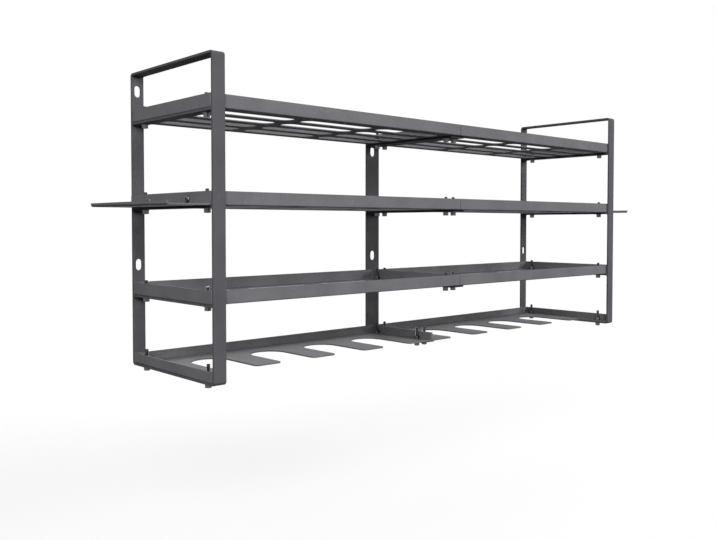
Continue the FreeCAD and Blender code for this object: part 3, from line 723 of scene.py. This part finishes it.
class RACK_OT_sheets(bpy.types.Operator):
    """Coat the shelves, the drill rack and the side racks"""
    bl_idname = "rack.sheets"
    bl_label = "Sheets"

    def execute(self, context):
        sheets = ["%s_shelf_%s" % (shelf, side) for shelf in SHELVES for side in SIDES]
        sheets += ["drill_rack_left", "drill_rack_right", *SIDE_RACKS]
        for node in sheets:
            soften(coat_node(node, "powder_coated_sheet"), finish().sheet_edge)
        return {"FINISHED"}


class RACK_OT_bolts(bpy.types.Operator):
    """Make the cap screws that hold the tiers, heads below"""
    bl_idname = "rack.bolts"
    bl_label = "Cap screws"

    def execute(self, context):
        look = context.scene.rack_fasteners
        for tier in TIERS:
            node = tier + "_bolts"
            low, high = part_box(node)
            middles = spots(node)
            bearing = low.z + look.cap_height
            head = cap_head(look, high.x - middles[-1].x)
            shank = threaded_shank(look, -SHANK_SUNK * look.cap_height, high.z - bearing)
            screw = join([head, shank], "screw")
            places = [Vector((middle.x, middle.y, bearing)) for middle in middles]
            screws = set_out(screw, tier + "_cap_screws", places)
            dress(screws, "zinc_plated_steel", "fasteners", node)
        return {"FINISHED"}


class RACK_OT_nuts(bpy.types.Operator):
    """Make the nuts and washers of the tiers"""
    bl_idname = "rack.nuts"
    bl_label = "Nuts and washers"

    def execute(self, context):
        look = context.scene.rack_fasteners
        for tier in TIERS:
            node = tier + "_nuts"
            low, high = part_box(node)
            middles = spots(node)
            nut = hexagon_nut(look, high.x - middles[-1].x, high.z - low.z)
            places = [Vector((middle.x, middle.y, low.z)) for middle in middles]
            nuts = set_out(nut, tier + "_hexagon_nuts", places)
            dress(nuts, "zinc_plated_steel", "fasteners", node)

            node = tier + "_washers"
            low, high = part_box(node)
            middles = spots(node)
            washer = flat_washer(look, high.x - middles[-1].x)
            levels = (low.z, high.z - look.washer_height)
            places = [Vector((middle.x, middle.y, level)) for middle in middles for level in levels]
            washers = set_out(washer, tier + "_flat_washers", places)
            dress(washers, "zinc_plated_steel", "fasteners", node)
        return {"FINISHED"}


class RACK_OT_side_screws(bpy.types.Operator):
    """Make the domed screws of the side racks and their nuts"""
    bl_idname = "rack.side_screws"
    bl_label = "Side rack screws"

    def execute(self, context):
        look = context.scene.rack_fasteners
        for rack, side in zip(SIDE_RACKS, (-1, 1)):
            inward = Matrix.Rotation(math.radians(-90 * side), 4, "Y")
            node = rack + "_screws"
            low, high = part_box(node)
            bearing = low.x + look.dome_height if side < 0 else high.x - look.dome_height
            head = domed_head(look, (high.z - low.z) / 2)
            shank = threaded_shank(
                look, -SHANK_SUNK * look.dome_height, high.x - low.x - look.dome_height)
            screw = join([head, shank], "screw")
            places = [Vector((bearing, middle.y, middle.z)) for middle in spots(node, axes=(1,))]
            screws = set_out(screw, rack + "_domed_screws", places, inward)
            dress(screws, "zinc_plated_steel", "fasteners", node)

            node = rack + "_nuts"
            low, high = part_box(node)
            bearing = low.x if side < 0 else high.x
            nut = hexagon_nut(look, (high.z - low.z) / 2, high.x - low.x)
            places = [Vector((bearing, middle.y, middle.z)) for middle in spots(node)]
            nuts = set_out(nut, rack + "_hexagon_nuts", places, inward)
            dress(nuts, "zinc_plated_steel", "fasteners", node)
        return {"FINISHED"}


class RACK_OT_welds(bpy.types.Operator):
    """Make the weld beads under the ends of the bearers"""
    bl_idname = "rack.welds"
    bl_label = "Welds"

    def execute(self, context):
        look = context.scene.rack_welds
        bearers = ["%s_%s_bearer" % (side, shelf) for shelf in SHELVES for side in SIDES]
        bearers += ["centre_%s_bearer" % shelf for shelf in SHELVES]
        for node in bearers:
            low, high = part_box(node)
            bead = weld_bead(look, high.x - low.x - look.leg)
            ends = [high.y] if node.startswith("centre") else [low.y, high.y]
            places = [Vector(((low.x + high.x) / 2, y, low.z)) for y in ends]
            dress(set_out(bead, node + "_welds", places), "powder_coated_bar", "bar")
        return {"FINISHED"}


def soft_lamp(name, place, target, width, height, power):
    """A rectangular soft lamp that faces a point."""
    bpy.ops.object.light_add(type="AREA", location=place)
    lamp = bpy.context.object
    lamp.name = name
    lamp.data.shape = "RECTANGLE"
    lamp.data.size = width
    lamp.data.size_y = height
    lamp.data.energy = power
    away = Vector(target) - lamp.location
    lamp.rotation_euler = away.to_track_quat("-Z", "Y").to_euler()


def seen_rays(tree):
    """1 for the rays that show the background: from the camera, a gloss or a glass."""
    rays = add_node(tree, "ShaderNodeLightPath").outputs
    either = add_node(tree, "ShaderNodeMath", {0: rays["Is Camera Ray"], 1: rays["Is Glossy Ray"]},
                      operation="MAXIMUM")
    return add_node(tree, "ShaderNodeMath", {0: either.outputs["Value"], 1: rays["Is Transmission Ray"]},
                    operation="MAXIMUM").outputs["Value"]


class RACK_OT_stage(bpy.types.Operator):
    """Set up the floor, the lamps, the world and the camera"""
    bl_idname = "rack.stage"
    bl_label = "Stage"

    def execute(self, context):
        studio = context.scene.rack_studio
        floor_z = CAD_BOX[0].z - studio.floor_drop
        bpy.ops.mesh.primitive_plane_add(size=FLOOR_SIZE, location=(0, 0, floor_z))
        floor = bpy.context.object
        floor.name = "floor"
        paint = new_material("pale_floor")
        tree = paint.node_tree
        hidden = add_node(tree, "ShaderNodeBsdfDiffuse", {"Color": (*studio.floor_color, 1)})
        shaded = add_node(tree, "ShaderNodeBsdfDiffuse", {
            "Color": (FLOOR_SHADE, FLOOR_SHADE, FLOOR_SHADE, 1)})
        glow = add_node(tree, "ShaderNodeEmission", {"Strength": studio.floor_white})
        near = add_node(tree, "ShaderNodeAddShader", {
            0: shaded.outputs["BSDF"], 1: glow.outputs["Emission"]})
        white = add_node(tree, "ShaderNodeEmission", {"Strength": 1.0})
        place = add_node(tree, "ShaderNodeTexCoord").outputs["Object"]
        distance = add_node(tree, "ShaderNodeVectorMath", {0: place}, operation="LENGTH")
        # The floor fades into the white background, so no horizon shows.
        fade = add_node(tree, "ShaderNodeMapRange", {
            "Value": distance.outputs["Value"],
            "From Min": FLOOR_FADE[0], "From Max": FLOOR_FADE[1]}, interpolation_type="SMOOTHSTEP")
        shown = add_node(tree, "ShaderNodeMixShader", {
            0: fade.outputs["Result"], 1: near.outputs["Shader"], 2: white.outputs["Emission"]})
        both = add_node(tree, "ShaderNodeMixShader", {
            0: seen_rays(tree), 1: hidden.outputs["BSDF"], 2: shown.outputs["Shader"]})
        add_node(tree, "ShaderNodeOutputMaterial", {"Surface": both.outputs["Shader"]})
        floor.data.materials.append(paint)

        world = bpy.data.worlds.new("studio")
        context.scene.world = world
        world.use_nodes = True
        tree = world.node_tree
        tree.nodes.clear()
        way = add_node(tree, "ShaderNodeTexCoord").outputs["Generated"]
        parts = add_node(tree, "ShaderNodeSeparateXYZ", {"Vector": way}).outputs
        above = add_node(tree, "ShaderNodeMapRange", {
            "Value": parts["Z"], "From Min": SKY_HEIGHTS[0], "From Max": SKY_HEIGHTS[1],
            "To Min": 0.0, "To Max": SKY_STRENGTH})
        soft = add_node(tree, "ShaderNodeBackground", {"Strength": above.outputs["Result"]})
        white = add_node(tree, "ShaderNodeBackground", {"Color": (1, 1, 1, 1), "Strength": 1.0})
        both = add_node(tree, "ShaderNodeMixShader", {
            0: seen_rays(tree), 1: soft.outputs["Background"], 2: white.outputs["Background"]})
        add_node(tree, "ShaderNodeOutputWorld", {"Surface": both.outputs["Shader"]})

        for name, place, width, height in LAMPS:
            power = getattr(studio, name + "_power")
            soft_lamp(name + "_lamp", place, LAMP_TARGET, width, height, power)

        bpy.ops.object.camera_add(location=studio.camera_place)
        camera = bpy.context.object
        camera.rotation_euler = (math.radians(90) - studio.camera_tilt, 0, -studio.camera_turn)
        camera.data.lens = studio.lens
        camera.data.sensor_width = FRAME_WIDTH
        camera.data.shift_y = studio.shift
        context.scene.camera = camera
        context.scene.view_settings.view_transform = "Standard"
        return {"FINISHED"}


class RACK_PT_panel(bpy.types.Panel):
    """Lists the steps and the values that they use"""
    bl_label = "Power tool wall rack"
    bl_space_type = "VIEW_3D"
    bl_region_type = "UI"
    bl_category = "Rack"

    def draw(self, context):
        for step in STEPS:
            self.layout.operator(step.bl_idname)
        for name in GROUPS:
            group = getattr(context.scene, name)
            for key in group.__annotations__:
                self.layout.prop(group, key)


GROUPS = {
    "rack_finish": RackFinish,
    "rack_fasteners": RackFasteners,
    "rack_welds": RackWelds,
    "rack_studio": RackStudio,
}
STEPS = (RACK_OT_bars, RACK_OT_sheets, RACK_OT_bolts, RACK_OT_nuts, RACK_OT_side_screws,
         RACK_OT_welds, RACK_OT_stage)


def register():
    """Registers the classes and puts their values on the scene."""
    for item in (*GROUPS.values(), *STEPS, RACK_PT_panel):
        bpy.utils.register_class(item)
    for name, group in GROUPS.items():
        setattr(bpy.types.Scene, name, PointerProperty(type=group))


def unregister():
    """Takes the values off the scene again and unregisters the classes."""
    for name in GROUPS:
        delattr(bpy.types.Scene, name)
    for item in reversed((*GROUPS.values(), *STEPS, RACK_PT_panel)):
        bpy.utils.unregister_class(item)


def main():
    """Runs the steps in order."""
    register()
    for step in STEPS:
        prefix, name = step.bl_idname.split(".")
        getattr(getattr(bpy.ops, prefix), name)()


if __name__ == "__main__":
    main()
